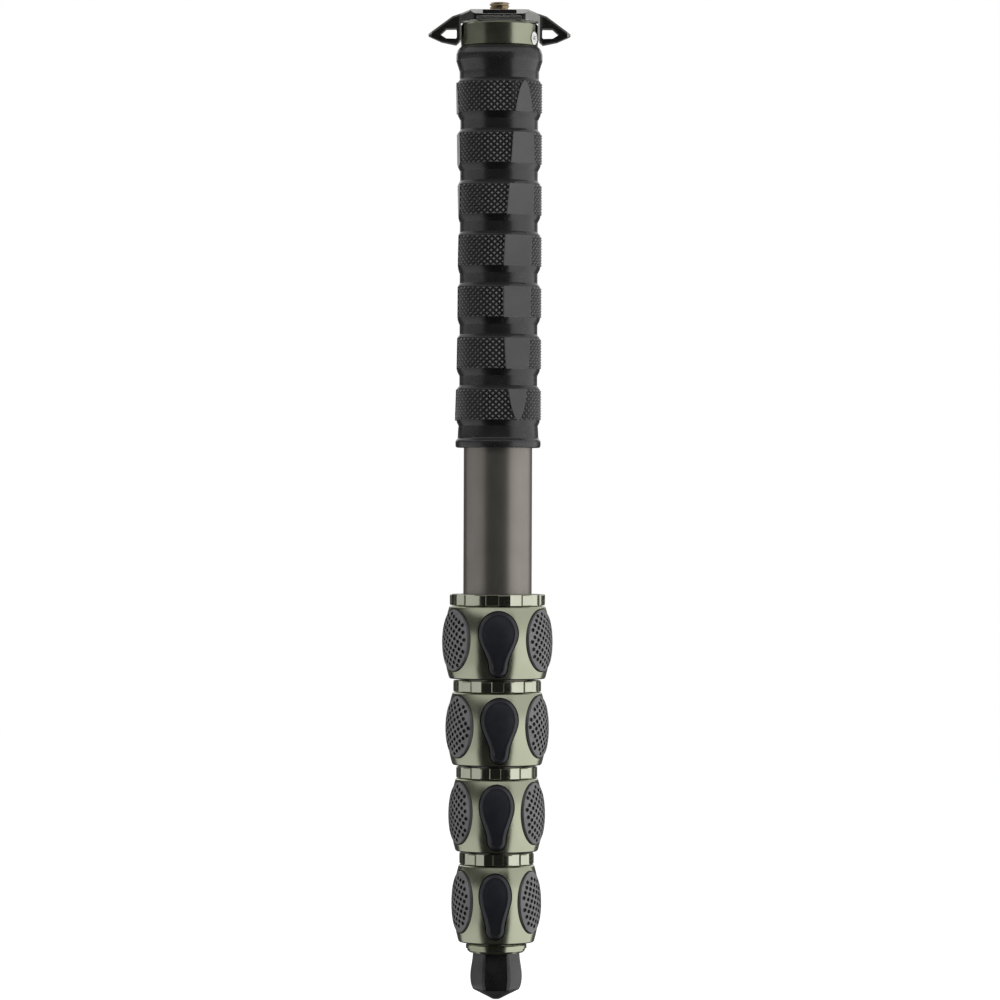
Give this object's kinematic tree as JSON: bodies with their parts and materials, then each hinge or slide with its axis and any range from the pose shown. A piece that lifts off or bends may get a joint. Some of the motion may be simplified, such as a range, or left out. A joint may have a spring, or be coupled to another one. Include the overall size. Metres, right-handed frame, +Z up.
{
  "type": "camera monopod",
  "caption": "Telescoping camera monopod: nested tubes with twist locks, a banded rubber grip, a camera screw plate with strap lugs and a pointed rubber foot.",
  "frame": {"origin": "tip of the foot on the pole's axis", "axes": "+Z up along the pole to the camera screw, -Y the front, +X to the right seen from the front"},
  "size_m": [0.0664, 0.0514, 0.4661],
  "materials": {
    "plate_metal": "dark gunmetal anodised, satin",
    "screw_brass": "turned brass",
    "olive_metal": "olive anodised, satin",
    "polished_olive": "olive anodised, polished",
    "bright_steel": "bare turned steel",
    "inner_metal": "turned aluminium, black on the lock sleeves",
    "inner_plastic": "black nylon",
    "tube_coat": "warm grey satin coat",
    "grip_rubber": "black, textured bands and smooth panels",
    "dimpled_rubber": "dark grey, dimpled",
    "smooth_rubber": "blue-black, smooth",
    "seal_rubber": "black, smooth",
    "foot_rubber": "black, smooth"
  },
  "bodies": {
    "upper_section": {"head_plate": "plate_metal", "camera_screw": "screw_brass", "head_collar": "olive_metal", "collar_set_screw": "bright_steel", "head_plug": "inner_plastic", "handle_grip": "grip_rubber", "tube_1": "tube_coat", "lock_sleeve_1": "inner_metal", "lock_ring_1": "polished_olive", "collet_1": "inner_plastic"},
    "twist_lock_1": {"lock_body_1": "olive_metal", "oval_pads_1": "dimpled_rubber", "bulb_pads_1": "smooth_rubber", "dust_seal_1": "seal_rubber"},
    "twist_lock_2": {"lock_body_2": "olive_metal", "oval_pads_2": "dimpled_rubber", "bulb_pads_2": "smooth_rubber", "dust_seal_2": "seal_rubber"},
    "twist_lock_3": {"lock_body_3": "olive_metal", "oval_pads_3": "dimpled_rubber", "bulb_pads_3": "smooth_rubber", "dust_seal_3": "seal_rubber"},
    "twist_lock_4": {"lock_body_4": "olive_metal", "oval_pads_4": "dimpled_rubber", "bulb_pads_4": "smooth_rubber", "dust_seal_4": "seal_rubber"},
    "section_2": {"tube_2": "tube_coat", "guide_shims_2": "inner_plastic", "end_plug_2": "inner_plastic", "lock_sleeve_2": "inner_metal", "lock_ring_2": "polished_olive", "collet_2": "inner_plastic"},
    "section_3": {"tube_3": "tube_coat", "guide_shims_3": "inner_plastic", "end_plug_3": "inner_plastic", "lock_sleeve_3": "inner_metal", "lock_ring_3": "polished_olive", "collet_3": "inner_plastic"},
    "section_4": {"tube_4": "tube_coat", "guide_shims_4": "inner_plastic", "end_plug_4": "inner_plastic", "lock_sleeve_4": "inner_metal", "lock_ring_4": "polished_olive", "collet_4": "inner_plastic"},
    "section_5": {"tube_5": "tube_coat", "guide_shims_5": "inner_plastic", "end_plug_5": "inner_plastic", "foot_collar": "olive_metal", "foot_insert": "inner_metal"},
    "foot_unit": {"foot": "foot_rubber", "foot_stud": "bright_steel"}
  },
  "joints": [
    {"name": "lock_1_twist", "type": "hinge", "parent": "upper_section", "child": "twist_lock_1", "pos_m": [0, 0, 0.1669], "axis": [0, 0, 1], "range_deg": [0, 120]},
    {"name": "lock_2_twist", "type": "hinge", "parent": "section_2", "child": "twist_lock_2", "pos_m": [0, 0, 0.1266], "axis": [0, 0, 1], "range_deg": [0, 120]},
    {"name": "lock_3_twist", "type": "hinge", "parent": "section_3", "child": "twist_lock_3", "pos_m": [0, 0, 0.0863], "axis": [0, 0, 1], "range_deg": [0, 120]},
    {"name": "lock_4_twist", "type": "hinge", "parent": "section_4", "child": "twist_lock_4", "pos_m": [0, 0, 0.0438], "axis": [0, 0, 1], "range_deg": [0, 120]},
    {"name": "section_2_slide", "type": "slide", "parent": "upper_section", "child": "section_2", "axis": [0, 0, -1], "range_m": [0, 0.223]},
    {"name": "section_3_slide", "type": "slide", "parent": "section_2", "child": "section_3", "axis": [0, 0, -1], "range_m": [0, 0.256]},
    {"name": "section_4_slide", "type": "slide", "parent": "section_3", "child": "section_4", "axis": [0, 0, -1], "range_m": [0, 0.289]},
    {"name": "section_5_slide", "type": "slide", "parent": "section_4", "child": "section_5", "axis": [0, 0, -1], "range_m": [0, 0.324]},
    {"name": "foot_removal", "type": "slide", "parent": "section_5", "child": "foot_unit", "axis": [0, 0, -1], "range_m": [0, 0.02]}
  ]
}
